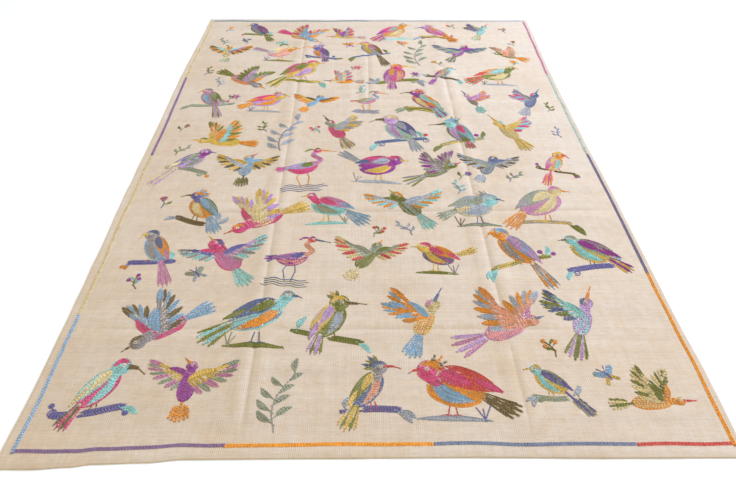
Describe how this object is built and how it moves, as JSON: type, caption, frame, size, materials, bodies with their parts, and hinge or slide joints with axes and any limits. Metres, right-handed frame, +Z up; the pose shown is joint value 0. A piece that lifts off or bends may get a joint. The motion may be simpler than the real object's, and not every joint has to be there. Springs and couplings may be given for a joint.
{
  "type": "embroidered kilim rug",
  "caption": "Flat-woven undyed wool rug, laid out flat with soft storage creases, hemmed ends, a thin stitched border line and embroidered bird motifs.",
  "frame": {"origin": "on the floor plane, under the centre of the rug's outer box", "axes": "+X across the rug, +Y along the rug away from its near end, +Z up, out of the embroidered face"},
  "size_m": [2.0096, 3.0299, 0.0092],
  "materials": {
    "ground_wool": "matte flat weave, undyed",
    "embroidery_wool": "matte chain stitch in many colours"
  },
  "bodies": {
    "root": {"kilim": "ground_wool"}
  },
  "joints": []
}
